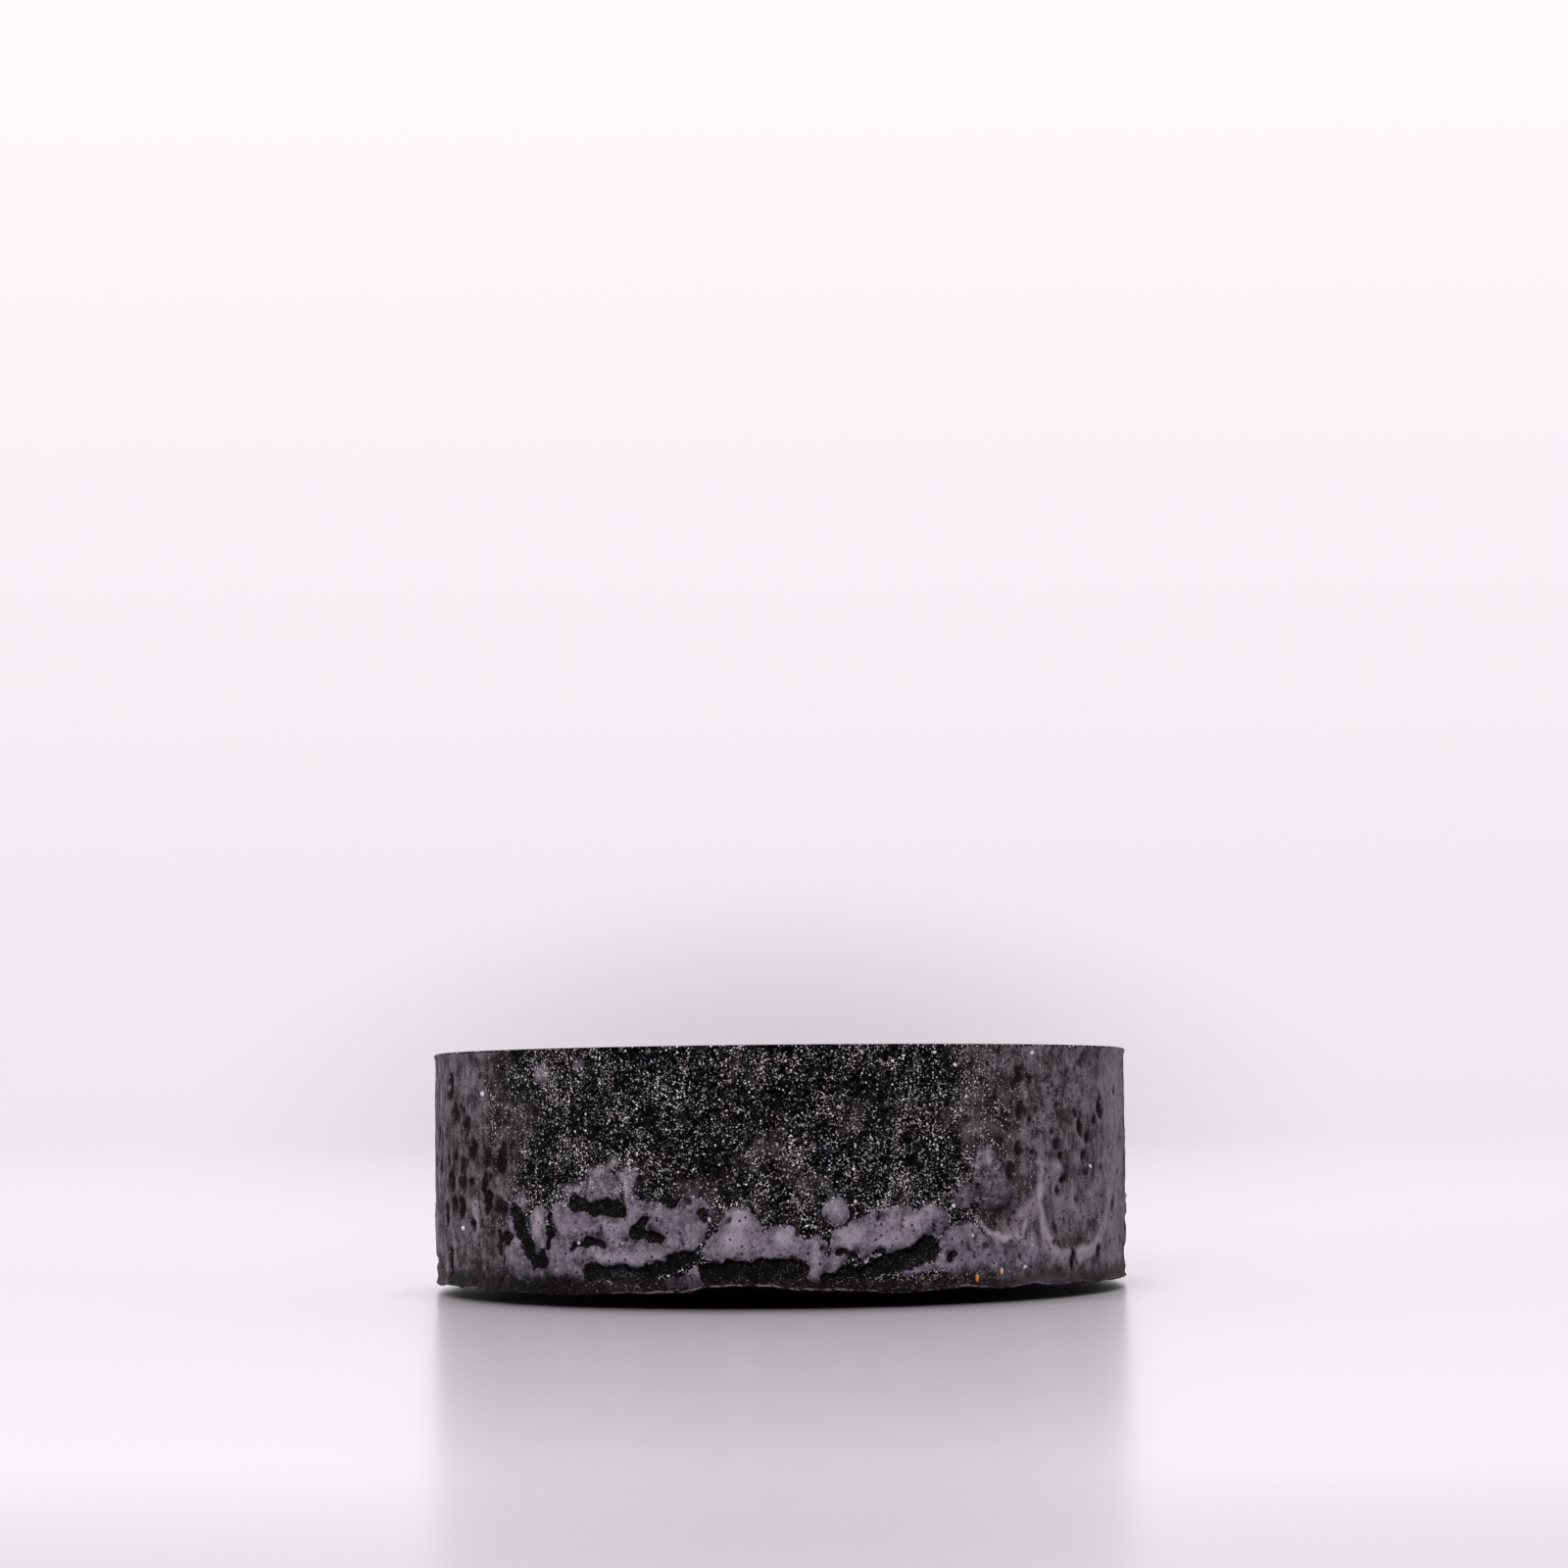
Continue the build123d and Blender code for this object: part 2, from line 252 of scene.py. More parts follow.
TONES = [  # dust and wear, painted highlights, reflection and shade: two ends, radius, softness, and how much lighter (+) or darker (-)
    # the rim of the wide basin on the right and its inside, with painted highlights, and its drain, with
    # painted shade
    (29.8, 12.4, 30, 9.5, 0.3, 0.5, 0.6), (30, 9.5, 30.4, 6.6, 0.4, 0.5, 0.85),
    (30.4, 6.6, 31.2, 4.6, 0.45, 0.5, 0.9), (30.8, 4.3, 32.4, 3.3, 0.45, 0.55, 0.85),
    (32.4, 3.2, 34.6, 2.8, 0.4, 0.6, 0.75), (37, 2.7, 39.4, 3, 0.5, 0.6, 1),
    (39.4, 3, 41.7, 4.2, 0.45, 0.6, 1), (41.7, 4.2, 43.6, 6.6, 0.4, 0.7, 0.65),
    (43.6, 6.6, 45.2, 9.8, 0.35, 0.8, 0.45), (-27.7, 6, -27.5, 7.2, 0.5, 0.5, 0.6),
    (38.6, 8.8, 38.9, 5.8, 0.3, 0.8, 0.35), (32.6, 11.6, 33.8, 7.2, 0.7, 1.1, 0.55),
    (36, 10.2, 37, 6.6, 0.6, 0.9, 0.35), (40, 7.6, 41.8, 11.4, 0.6, 1, 0.4),
    (35.3, 3.4, 36, 1.4, 0.4, 0.4, -0.8), (32.6, 4.2, 39.4, 4.1, 0.35, 0.6, -0.65),
    (35, 13.4, 34.6, 12.2, 0.4, 0.5, -0.4),
    # the dome left of it: a painted highlight along its lower rim, and darker inside
    (21.8, 6.5, 22.8, 5.4, 0.16, 0.3, 0.8), (22.8, 5.4, 24.8, 4.75, 0.18, 0.3, 0.95),
    (24.8, 4.75, 26.8, 5.2, 0.18, 0.3, 0.95), (26.8, 5.2, 27.7, 6.4, 0.18, 0.35, 0.85),
    (24.4, 7.6, 24.8, 6.8, 1.2, 0.9, -0.55), (29.3, 6, 29.4, 6.2, 0.5, 0.5, -0.55),
    (27.4, 7.2, 28.8, 8.4, 0.5, 0.9, 0.55), (28.6, 4.6, 29.2, 3, 0.5, 0.8, 0.35),
    (22.5, 13, 22.7, 13.9, 0.35, 0.55, 0.65), (21, 12.6, 21.3, 12.9, 0.25, 0.4, 0.5),
    (23, 12, 24.2, 8.6, 1.8, 1.4, -0.8), (19.7, 9.4, 20, 9.6, 1.4, 0.8, -0.85),
    (18.4, 3.8, 22, 3.4, 1.2, 1.4, -0.25), (6, 2.6, 9.5, 3.9, 0.35, 0.6, -0.35),
    (27, 0.9, 45, 1, 0.25, 0.45, 0.5),
    # a crack, painted highlights on the tops of the lobes in the middle, and painted shade in the crease
    # between the two round lobes
    (12.6, 5.4, 12.7, 9.4, 0.05, 0.12, -0.8), (14, 8.8, 11.6, 8.3, 0.05, 0.12, -0.5),
    (-4.4, 6.9, -4, 7.3, 0.6, 0.9, 0.65), (-5.2, 4.9, -4.2, 5.2, 0.5, 0.9, 0.55),
    (0.2, 5.5, 0.6, 5.7, 0.6, 0.8, 0.6), (-2.2, 4.4, -1.8, 6, 0.25, 0.6, -0.25),
    (5.3, 8.4, 5.5, 8.6, 0.5, 0.6, 0.35), (6.6, 5.3, 7.6, 5.6, 0.5, 0.9, 0.55),
    (10.8, 5, 12.4, 5.3, 0.4, 0.8, 0.45), (13.6, 6.6, 15.4, 8, 0.45, 0.7, 0.6),
    (19, 5.2, 20, 5.6, 0.4, 0.8, 0.3), (3.6, 2.2, 3.6, 4.2, 0.35, 0.6, 0.3),
    (-12.4, 5.9, -9.4, 7.2, 0.8, 1.2, -0.35), (-22, 6.3, -18.8, 6.3, 0.35, 0.7, 0.12),
    (-19.6, 3.3, -13.2, 3.5, 0.3, 0.5, 0.4), (-17.4, 6.2, -14.4, 7.8, 0.4, 0.8, 0.25),
    (-17.2, 11.6, -15.9, 10.4, 0.15, 0.35, 0.6), (-15.9, 10.4, -15.8, 8.6, 0.15, 0.35, 0.6),
    (-20.4, 12.2, -17.6, 12.8, 0.25, 0.6, 0.5), (-23.4, 10.1, -21.6, 10.6, 0.35, 0.6, 0.5),
    (-21, 7.4, -16, 10.4, 1.6, 2.2, -0.32), (-20.6, 10.6, -18.6, 11.4, 1.2, 1.2, -0.55),
    (-17.6, 12.2, -15.4, 12, 0.6, 1, 0.3), (-13.6, 7.8, -9.6, 8.8, 0.6, 0.6, -0.25),
    (-9, 8.4, -8.6, 8.8, 0.6, 0.6, -0.25), (-27, 6.4, -22, 4.2, 0.8, 1.2, -0.15),
    # the smooth left end
    (-40.2, 22, -39.8, 22.6, 0.8, 0.9, 0.2), (-26.8, 21.9, -26.4, 22.1, 0.5, 0.6, 0.45),
    (-21.9, 22.8, -21.6, 23, 0.3, 0.5, 0.4), (-38.6, 8.4, -38.2, 6.4, 0.6, 0.7, 0.65),
    (-33.4, 9.4, -33.8, 11.2, 0.6, 0.8, 0.4), (-30.4, 8.6, -29.8, 9.2, 0.5, 0.6, 0.45),
    (-27.9, 7.2, -27.4, 7.8, 0.45, 0.6, 0.55), (-45, 5.4, -44.2, 4.4, 0.6, 1.2, 0.35),
    (-41.6, 9.6, -40.2, 8.8, 0.3, 0.6, 0.35), (-30.5, 2.8, -22.5, 2.6, 0.9, 1, -0.3),
    (-50.6, 19.6, -50.4, 21.6, 0.35, 0.5, -0.6), (-50.8, 3.2, -50.6, 6, 0.45, 0.5, -0.7),
    (-46, 0.7, -22.4, 0.5, 0.9, 0.6, -1), (-40, 1.9, -27, 1.5, 0.7, 1, -0.55),
    (-44.5, 6, -44, 20, 2, 5, -0.35), (-38.5, 2.4, -35, 2.4, 1, 1.4, -0.4),
    (-34.5, 5, -34.5, 12, 0.8, 2.5, -0.4), (-48.8, 0.3, -46.8, 0.2, 0.2, 0.3, 0.9),
    (46.5, 4, 47.5, 22, 2.5, 4, 0.5), (38, 19, 42, 19.5, 2, 3, 0.15),
]
FLASH_LINE = np.array([  # height of the flash above the lower rim, along the wall
    (-60, 0), (-46, -0.2), (-38, 0), (-30, -0.2), (-24, -0.25), (-18, -0.1), (-13, 0.05), (-10, 0.1),
    (-8, 0.55), (-5, 0.7), (-1, 0.65), (1, 0.3), (4, 0.2), (8, 0.1), (11, -0.2), (16, -0.05), (20, 0.3),
    (24, -0.1), (29, 0.3), (33, 0), (38, 0.2), (41, -0.1), (45, 0.2), (60, 0),
])
print(len(FRONT_HOLLOWS), "hollows and", len(TONES), "worn places at the front")

# %% [markdown]
# ## Marks round the back
#
# The same moulding went on round the back, so it gets the same kinds of mark with the same sizes, from one
# seeded generator. Golden-ratio steps spread them without rows or clumps, and the random part varies their
# size and lean.

# %% Marks for the rest of the wall
SIDE = 52.0  # the listed marks reach this far to each side of the front
BACK = ROUND - 2 * SIDE
GOLDEN = (5**0.5 - 1) / 2
draw = np.random.default_rng(76)


def spread(count, low, high):
    """Places round the back from even steps with a random half step, and heights from golden-ratio steps."""
    k = np.arange(count)
    places = SIDE + BACK * (k + draw.uniform(0.2, 0.8, count)) / count
    return places, low + (high - low) * ((0.5 + k * GOLDEN) % 1)


def lobes(count, low, high, length, radius):
    """Capsules that lean a little, with lengths and radii drawn between two limits each."""
    s0, h0 = spread(count, low, high)
    run, lean = draw.uniform(*length, count), draw.normal(0, 0.25, count)
    return np.stack([s0, h0, s0 + run, h0 + run * lean, draw.uniform(*radius, count)], 1)


back_skins = np.concatenate([
    lobes(26, 3.2, 6.2, (1.0, 5.0), (1.2, 2.4)),
    lobes(12, 6.0, 9.5, (0.2, 1.5), (0.9, 1.8)),
    lobes(9, 0.9, 1.5, (0.5, 2.5), (0.3, 0.8)),
])
skins = FRONT_SKINS + back_skins.tolist()
back_hollows = lobes(24, 1.6, 3.6, (1.0, 5.0), (0.45, 1.05))
back_small = lobes(22, 4.0, 13.0, (0.1, 1.2), (0.35, 0.80))
back_hollows = np.concatenate([back_hollows, back_small])
back_depths = draw.uniform(0.45, 0.85, len(back_hollows))
hollows = FRONT_HOLLOWS + np.column_stack([back_hollows, back_depths]).tolist()
pit_s, pit_h = spread(90, 3.0, WALL - 2.0)
back_pits = np.column_stack([pit_s, pit_h, draw.uniform(0.22, 0.75, len(pit_s))])
pore_count = 420  # pinholes all round, too many to list
pores = np.column_stack([
    draw.uniform(-ROUND / 2, ROUND / 2, pore_count),
    draw.uniform(2.0, WALL - 1.0, pore_count),
    draw.uniform(0.14, 0.34, pore_count),
])
pits = FRONT_PITS + back_pits.tolist() + pores.tolist()
basin_s, basin_h = spread(6, 5.0, 9.0)
back_basins = np.column_stack([
    basin_s, basin_h, draw.uniform(2.5, 5.5, 6), draw.uniform(2.0, 4.0, 6),
    draw.uniform(0.2, 0.4, 6), draw.uniform(0.05, 0.1, 6),
])
basins = FRONT_BASINS + back_basins.tolist()
ring_s, ring_h = spread(7, 8.0, 21.0)
back_rings = np.column_stack([ring_s, ring_h, draw.uniform(1.2, 2.4, 7), draw.uniform(0.05, 0.12, 7)])
rings = RINGS + back_rings.tolist()
back_tones = np.column_stack([
    lobes(40, 1.0, 21.0, (0.5, 4.0), (0.3, 0.9)), draw.uniform(0.3, 1.0, 40),
    draw.choice([-0.6, -0.4, 0.4, 0.6], 40),
])
tones = TONES + back_tones.tolist()
print(len(skins), "skin runs,", len(hollows), "hollows,", len(pits), "pits and pores")

# %% [markdown]
# ## The wall as one relief
#
# The relief is the depth of each point of the wall below a plain cylinder, summed from the marks. The same
# fields are kept as attributes for the material: a field that is interpolated over a face and then cut in the
# shader gives a crisper outline than the faces could.

# %% Relief
SKIN_STEP = 0.17  # how far the open ground lies below the skins
BLISTER_RISE = 0.22  # how far the round cap stands above the skin
FLASH_RISE = 0.11  # how far the edge of the flash stands out
UNDERCUT = 0.30  # how far the wall draws in below that edge
RING_WIDTH = 0.16


def wall_radius(h):
    """Radius of the plain wall: constant above, and drawn in on a straight line towards the lower rim."""
    return RADIUS - DRAW_IN * np.clip(1 - h / DRAW_IN_HEIGHT, 0, 1)


def flash_line(s):
    """Height of the flash's bright edge: the listed heights joined by straight lines, and a little noise."""
    line = np.interp(s, FLASH_LINE[:, 0], FLASH_LINE[:, 1])
    return line + 0.05 * ripple(s, 0 * s, 0.8, 20) + 0.06 * ripple(s, 0 * s, 2.4, 21)


def relief(s, h):
    """Depth of the wall below the plain wall, how far the flash stands out of it, and the fields that the
    material reads."""
    ws = s + 0.32 * ripple(s, h, 1.7, 1) + 0.10 * ripple(s, h, 0.6, 2)
    wh = h + 0.32 * ripple(s, h, 1.7, 3) + 0.10 * ripple(s, h, 0.6, 4)
    skin = capsules(ws, wh, skins)
    blister = BLISTER[2] - np.hypot(along(s, BLISTER[0]), h - BLISTER[1])
    skin = np.maximum(skin, blister)
    hollow = np.full(s.shape, FAR)
    sunk = np.zeros(s.shape)
    torn = 0.26 * ripple(s, h, 1.1, 8) + 0.18 * ripple(s, h, 0.5, 9)
    for *shape, depth in hollows:
        inside = capsule(ws, wh, *shape) + torn
        hollow = np.maximum(hollow, inside)
        sunk = np.maximum(sunk, depth * soft(inside, -0.08, 0.30))
    # painted shade: a thin dark ring under the lower half of the blister, taken as hollow but with no depth
    hollow = np.maximum(hollow, np.where(h < BLISTER[1] + 0.7, 0.13 - np.abs(blister + 0.12), FAR))
    pit = np.full(s.shape, FAR)
    bored = np.zeros(s.shape)
    for place, height, radius in pits:
        inside = radius - np.hypot(along(ws, place), 0.85 * (wh - height)) + min(radius, 0.6) * torn
        pit = np.maximum(pit, inside)
        bored = np.maximum(bored, 0.6 * radius * np.sqrt(np.clip(inside / radius, 0, 1)))
    tone = np.zeros(s.shape)
    for *shape, softness, strength in tones:
        share = soft(capsule(ws, wh, *shape), -softness, 0.5 * softness)
        tone = tone + strength * share * (1 - np.abs(tone))
    dished = np.zeros(s.shape)
    for place, height, half_width, half_height, depth, lip in basins:
        out = np.hypot(along(ws, place) / half_width, (wh - height) / half_height)
        dished += depth * soft(1 - out, -0.02, 0.35) - lip * np.exp(-(((out - 1.06) / 0.07) ** 2))
    ringed = np.zeros(s.shape)
    for place, height, radius, rise in rings:
        off = np.hypot(along(ws, place), wh - height) - radius
        ringed = np.maximum(ringed, rise * np.exp(-((off / RING_WIDTH) ** 2)))
    skin_cut = np.minimum(skin, -hollow)
    raised = soft(skin_cut, -0.10, 0.55)
    grainy = 0.03 * ripple(s, h, 0.55, 5) + 0.025 * ripple(s, h, 1.4, 6) + 0.02 * ripple(s, h, 4.0, 7)
    depth = SKIN_STEP * (1 - raised) + grainy * (1 - 0.75 * raised) + sunk + bored + dished - ringed
    depth -= BLISTER_RISE * soft(blister, -0.05, 0.8) * (blister > -0.05)
    satin = np.full(s.shape, FAR)
    for middle, half in SATIN_AND_SHEEN:
        satin = np.maximum(satin, half - np.abs(along(s, middle)))
    satin += 4.0 * ripple(s, h, 9.0, 18) + 2.5 * ripple(s, h, 3.5, 19)
    edge = h - flash_line(s)
    flash = FLASH_RISE * np.exp(-((edge / 0.13) ** 2)) - UNDERCUT * soft(-edge, 0.10, 0.36)
    lighter, darker = np.maximum(tone, 0), np.maximum(-tone, 0)
    return depth, flash, dict(skin=skin_cut, hollow=hollow, pit=pit, satin=satin, lighter=lighter,
                              darker=darker, edge=edge)


# %% [markdown]
# ## The puck's mesh
#
# Flash is the thin lip of compound that ran out of the joint of the mould. It hangs below the lower rim by an
# amount that wanders. The top edge is crisp, with a few small nicks.

# %% Flash and nicks
NOTCH, NOTCH_HALF = -46.0, 3.2  # middle and half width of a place without flash


def flash_drop(s):
    """How far the flash hangs below the lower rim: slow and quick noise within two limits, with one notch."""
    wander = 0.04 * ripple(s, 0 * s, 6.0, 11) + 0.04 * ripple(s, 0 * s, 1.3, 12)
    ragged = 0.10 + np.clip(-flash_line(s), 0, 1) + wander
    notch = soft(NOTCH_HALF - np.abs(along(s, NOTCH)), -0.5, 0.5)
    return np.clip(ragged, 0.04, 0.42) * (1 - notch) + 0.03 * notch


def edge_nick(s):
    """Depth of the small nicks in the top edge: only the highest peaks of a quick noise count."""
    return 0.20 * soft(ripple(s, 0 * s, 0.7, 13), 0.70, 0.98) + 0.02 * ripple(s, 0 * s, 2.5, 14)


# %% [markdown]
# The outline of the puck is carried round the axis, ring by ring: foot, crown, flash lip, wall, top edge, top
# face. Rings on the wall have many points, set closer at the front by one sine wave, and those on the faces
# have fewer towards the middle. A Screw modifier would carry the outline round as well, but only a mesh made
# point by point can have a different depth at every point.

# %% Rings
COLUMNS = 880  # points on each ring of the wall
ROWS = 92  # rings on the wall
CROWDING = 0.45  # how much closer than the average the points stand at the front

turn = (np.arange(COLUMNS) / COLUMNS * 2 - 1) * np.pi
bearing = turn - CROWDING * np.sin(turn)
vertices, fields, rings_made = [], [], []
NO_MARKS = dict(skin=FAR, hollow=FAR, pit=FAR, satin=FAR, lighter=0.0, darker=0.0, edge=-FAR, height=0.0,
                face=0.0)
FIELDS = (*NO_MARKS, "fray", "cover")
FRAYING = (7.5, 10.5)  # the outlines of skins fray more and more between these heights


def add_ring(radius, z, share=1, **values):
    """Adds a ring at a radius and height, with one point in every `share` columns, and notes its fields. How
    much a skin frays there follows from the height, and a frayed skin covers less of the specks."""
    angle = bearing[::share]
    r, z = np.broadcast_to(radius, angle.shape), np.broadcast_to(z, angle.shape)
    start = sum(len(ring) for ring in vertices)
    vertices.append(np.stack([r * np.sin(angle), -r * np.cos(angle), z], 1) * MM)
    known = dict(NO_MARKS, **values)
    frayed = 1 + 4 * soft(known["height"], *FRAYING)
    known["fray"], known["cover"] = 0.7 * frayed, 0.84 / np.sqrt(frayed)
    fields.append(np.stack([np.broadcast_to(known[name], angle.shape) for name in FIELDS], 1))
    rings_made.append((start, len(angle)))


def crown_height(r):
    """Height of the pour face: flat on the foot, then rising with the square of the way to the rim."""
    return RIM * (np.clip(r - FOOT, 0, None) / (RADIUS - DRAW_IN - FOOT)) ** 2


s = bearing * RADIUS
# the underside, from its middle outwards
for radius, share in ((1.5, 16), (5.0, 16), (FOOT, 8), (14.0, 8), (19.0, 4), (24.0, 4), (28.0, 2),
                      (31.5, 2), (34.0, 1), (35.6, 1), (36.7, 1)):
    places = s[::share]
    wave = WAVES * ripple(places, np.full(places.shape, radius), 6.0, 15) * soft(radius, FOOT, 20.0)
    add_ring(radius, crown_height(radius) + wave, share, face=-1.0)
# the flash lip
rim = RADIUS - DRAW_IN
clear = RIM - table_height(rim * np.sin(bearing), -rim * np.cos(bearing))
drop = np.minimum(flash_drop(s), clear - 0.04)  # at the back the table presses the flash up
add_ring(rim - 0.38, RIM - 0.02, face=-1.0)
under = -flash_line(s)
add_ring(rim - 0.20, RIM - drop * 0.92, edge=under - 0.3)
add_ring(rim - 0.02 + 0.05 * ripple(s, 0 * s, 0.9, 16), RIM - drop, edge=under - 0.12)
add_ring(rim + 0.04 + 0.05 * ripple(s, 0 * s, 0.9, 17), RIM - drop * 0.45, edge=under)
# the wall
row = np.linspace(0, 1, ROWS)
for h in (WALL - EDGE) * (0.72 * row + 0.28 * row**3):
    heights = np.full(s.shape, h)
    depth, flash, marks = relief(s, heights)
    fade = soft(h, 0.0, 0.9) * soft(WALL - h, 0.25, 0.9)
    depth = depth * fade - flash + edge_nick(s) * soft(h, WALL - 1.2, WALL - EDGE)
    add_ring(wall_radius(h) - depth, RIM + h, height=h, **marks)
# the top edge and the top face, inwards
nick = edge_nick(s)
for lean in (30, 60, 90):
    out = EDGE * (1 - np.cos(np.radians(lean)))
    up = EDGE * (1 - np.sin(np.radians(lean)))
    add_ring(RADIUS - out - nick * (1 - lean / 120), THICKNESS - up, height=WALL, face=0.5)
for radius, share in ((37.2, 1), (36.0, 1), (34.0, 2), (30.0, 2), (25.0, 4), (19.0, 4), (13.0, 8),
                      (7.0, 16), (3.0, 16)):
    add_ring(radius, THICKNESS, share, height=WALL, face=1.0)
print(len(rings_made), "rings with", sum(count for _, count in rings_made), "points")

# %% [markdown]
# Each ring is joined to the next by faces, and the two innermost rings to a point at their middle. The result
# is one closed skin of less than 200,000 triangles.

# %% Faces between the rings


def join(lower, upper):
    """Faces between two rings, outwards. With equal counts they are quads; where one ring has half the points
    of the other, each of its gaps takes a triangle and a quad."""
    (a, n), (b, m) = lower, upper
    k = np.arange(min(n, m))
    after = (k + 1) % len(k)
    if n == m:
        return np.stack([a + k, a + after, b + after, b + k], 1).tolist()
    if n > m:
        triangles = np.stack([a + 2 * k, a + 2 * k + 1, b + k], 1)
        quads = np.stack([a + 2 * k + 1, a + 2 * after, b + after, b + k], 1)
    else:
        triangles = np.stack([a + k, b + 2 * k + 1, b + 2 * k], 1)
        quads = np.stack([a + k, a + after, b + 2 * after, b + 2 * k + 1], 1)
    return triangles.tolist() + quads.tolist()


def cap(ring, middle, downwards):
    """Triangles from a ring to the point at its middle."""
    start, count = ring
    k = np.arange(count)
    after = (k + 1) % count
    pole = np.full(count, middle)
    order = [start + after, start + k, pole] if downwards else [start + k, start + after, pole]
    return np.stack(order, 1).tolist()


points = np.concatenate(vertices)
foot_middle, top_middle = len(points), len(points) + 1
points = np.concatenate([points, [[0, 0, 0], [0, 0, THICKNESS * MM]]])
faces = cap(rings_made[0], foot_middle, True) + cap(rings_made[-1], top_middle, False)
for lower, upper in zip(rings_made, rings_made[1:]):
    faces += join(lower, upper)
field_values = np.concatenate([*fields, fields[0][:1], fields[-1][:1]])  # the middles are like their rings

mesh = bpy.data.meshes.new("puck")
mesh.from_pydata(points, [], faces)
mesh.validate()
mesh.shade_smooth()
for column, name in enumerate(FIELDS):
    attribute = mesh.attributes.new(name, "FLOAT", "POINT")
    attribute.data.foreach_set("value", field_values[:, column].astype(np.float32))
puck = bpy.data.objects.new("puck", mesh)
scene.collection.objects.link(puck)
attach(puck, "root")
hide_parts("puck_body")
triangles = sum(len(face) - 2 for face in faces)
print("puck mesh:", len(points), "points,", triangles, "triangles")

# %% [markdown]
# ## Materials
#
# Colours are written as sRGB hex values, as a paint chart gives them, and one function turns them to the
# linear values that light is added up in. One more function adds a node with its settings and links, and
# hands back an output, so that a pattern reads as a chain of named steps.

# %% Colour and node helpers


def linear(code):
    """A hex sRGB colour as linear red, green, blue and alpha."""
    values = [int(code[i:i + 2], 16) / 255 for i in (0, 2, 4)]
    return [v / 12.92 if v <= 0.04045 else ((v + 0.055) / 1.055) ** 2.4 for v in values] + [1.0]


def add_node(tree, kind, inputs=(), out=0, **settings):
    """Adds a node of a kind, sets its properties, gives each input a value or links an output to it, and
    returns one of its outputs. The kind is a name, or one of the dictionaries below with its settings. The
    inputs are a list from the first on, or a dictionary by name or number."""
    if isinstance(kind, dict):
        return add_node(tree, inputs=inputs, **kind, **settings)
    node = tree.nodes.new("ShaderNode" + kind)
    for name, value in settings.items():
        setattr(node, name, value)
    for name, value in inputs.items() if isinstance(inputs, dict) else enumerate(inputs):
        if isinstance(value, bpy.types.NodeSocket):
            tree.links.new(value, node.inputs[name])
        else:
            node.inputs[name].default_value = value
    return node.outputs[out] if node.outputs else None


def new_material(name):
    """An empty node material, and the node function for its tree."""
    material = bpy.data.materials.new(name)
    material.use_nodes = True
    material.node_tree.nodes.clear()
    return material, partial(add_node, material.node_tree)


def per_metre(millimetres):
    """Texture scale for a pattern whose cells are this many millimetres across."""
    return 1 / (millimetres * MM)


# kinds of node that come up again and again, with their settings
SMOOTH = dict(kind="MapRange", interpolation_type="SMOOTHSTEP")  # a soft step from one value to another
MIX = dict(kind="Mix", data_type="RGBA", out=2)  # the colours at inputs 6 and 7, by the share at input 0
PLUS, MINUS = dict(kind="Math", operation="ADD"), dict(kind="Math", operation="SUBTRACT")
TIMES = dict(kind="Math", operation="MULTIPLY")
TIMES_PLUS = dict(kind="Math", operation="MULTIPLY_ADD")  # first times second plus third
LARGER, OVER = dict(kind="Math", operation="MAXIMUM"), dict(kind="Math", operation="GREATER_THAN")
print(f"middle grey, 808080, is {linear('808080')[0]:.3f} as a linear value")

# %% [markdown]
# ## Cast rubber compound
#
# The compound is vulcanised rubber filled with carbon black, poured and pressed in a plain mould. Its open,
# rough ground is nearly black, and the tiny bright specks where broken filler and pinholes catch the light are
# painted glints in its colour. Its skins are satin and grey, because they are smooth and carry a little dust
# from the mould. Hollows are black.
#
# Almost every pattern in it starts from a noise. Each has the real size of its features in millimetres, how
# many finer layers are added, and how strong each of those is. Some go through a soft step at once, between
# the two values that follow, and on to the last two if they are given.

# %% Noises of the rubber
rubber, add = new_material("cast_rubber_compound")
where = add("TexCoord", out="Object")
field = {name: add("Attribute", out="Fac", attribute_name=name) for name in FIELDS}
NOISES = {
    "skin edge": (0.6, 4, 0.65),
    "hollow edge": (0.45, 3, 0.6),
    "pit edge": (0.8, 4, 0.65),
    "satin edge": (1.8, 4, 0.65),
    "strip edge": (2.0, 3, 0.55),
    "tone patches": (0.9, 4, 0.65),
    "speck clouds": (3.2, 5, 0.7),
    "dark wells": (1.2, 3, 0.6, 0.34, 0.50),
    "blobs": (0.18, 1, 0.6),
    "curls": (0.62, 2, 0.5),
    "curl patches": (0.5, 2, 0.55),
    "haze": (0.55, 4, 0.7, 0.46, 0.66),
    "tinge": (2.2, 3, 0.6, 0.42, 0.58),
    "skin mottle": (1.3, 5, 0.68, 0.34, 0.66),
    "fine mottle": (0.26, 4, 0.75, 0.38, 0.58, 0.55, 0.0),
    "blue patches": (2.6, 4, 0.6, 0.52, 0.68, 0.0, 0.5),
    "satin patches": (1.9, 7, 0.75),
    "flash breaks": (1.1, 5, 0.7, 0.42, 0.60),
    "gloss": (0.9, 2, 0.55),
    "grain": (0.22, 3, 0.55),
}
noise = {}
for name, (size, detail, strength, *soft_step) in NOISES.items():
    noise[name] = add("TexNoise", {
        "Vector": where, "Scale": per_metre(size), "Detail": detail, "Roughness": strength,
    }, out="Fac")
    if soft_step:
        noise[name] = add(SMOOTH, [noise[name], *soft_step])
print("rubber:", len(noise), "noises")

# %% [markdown]
# Each finish lies where a field of the mesh is high. A noise is added first, so that the outline wanders by a
# few tenths of a millimetre, and a soft step then cuts it. The satin zones and the dark strip along the rim
# fade over millimetres, so their noise is stronger. Skins fray more the higher they reach.

